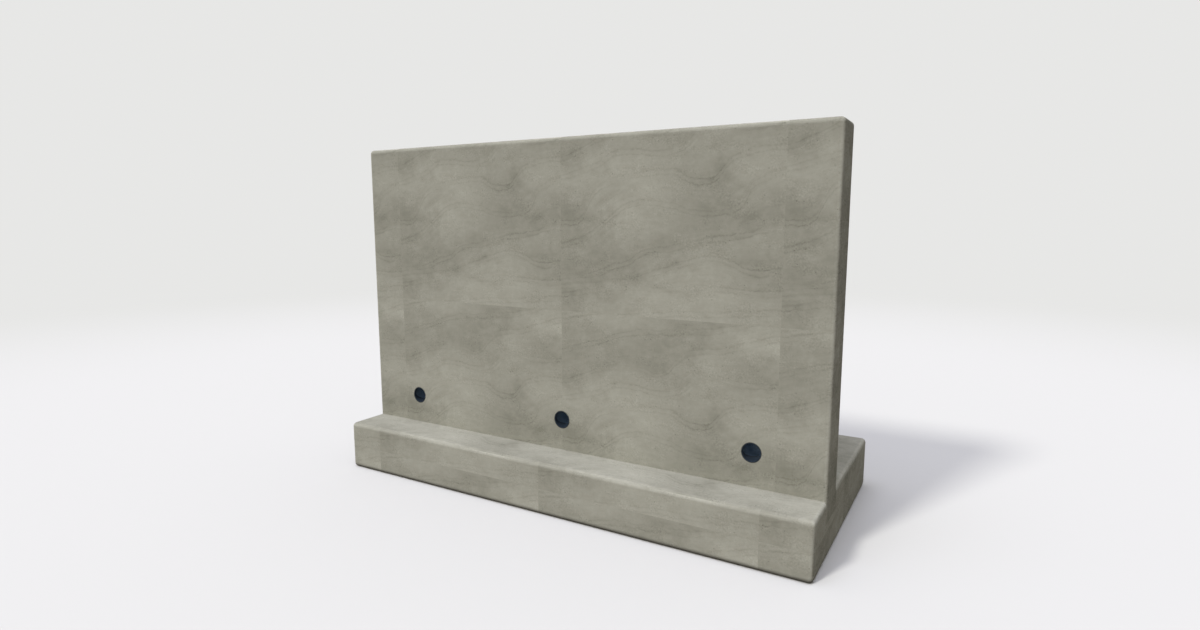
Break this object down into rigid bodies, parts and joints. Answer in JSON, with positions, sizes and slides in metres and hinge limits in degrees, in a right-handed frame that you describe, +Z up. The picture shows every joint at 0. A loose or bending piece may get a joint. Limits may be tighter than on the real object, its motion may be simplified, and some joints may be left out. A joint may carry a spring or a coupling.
{
  "type": "concrete cantilever retaining wall",
  "caption": "Upright concrete stem let into a toe-and-heel footing, with rounded edges and a row of open weep pipes low in the stem.",
  "frame": {"origin": "on the ground, under the middle of the footing", "axes": "+X along the wall, -Y towards the open face and the toe, +Y towards the heel and the earth, +Z up"},
  "size_m": [3, 1.37, 2.08],
  "materials": {
    "concrete": "off-the-form concrete, matt, with soft blotches and fine dark flow lines",
    "pipe_plastic": "dark blue-black drain pipe, matt"
  },
  "bodies": {
    "root": {"footing": "concrete", "stem": "concrete", "weep_pipe_left": "pipe_plastic", "weep_pipe_centre": "pipe_plastic", "weep_pipe_right": "pipe_plastic"}
  },
  "joints": []
}
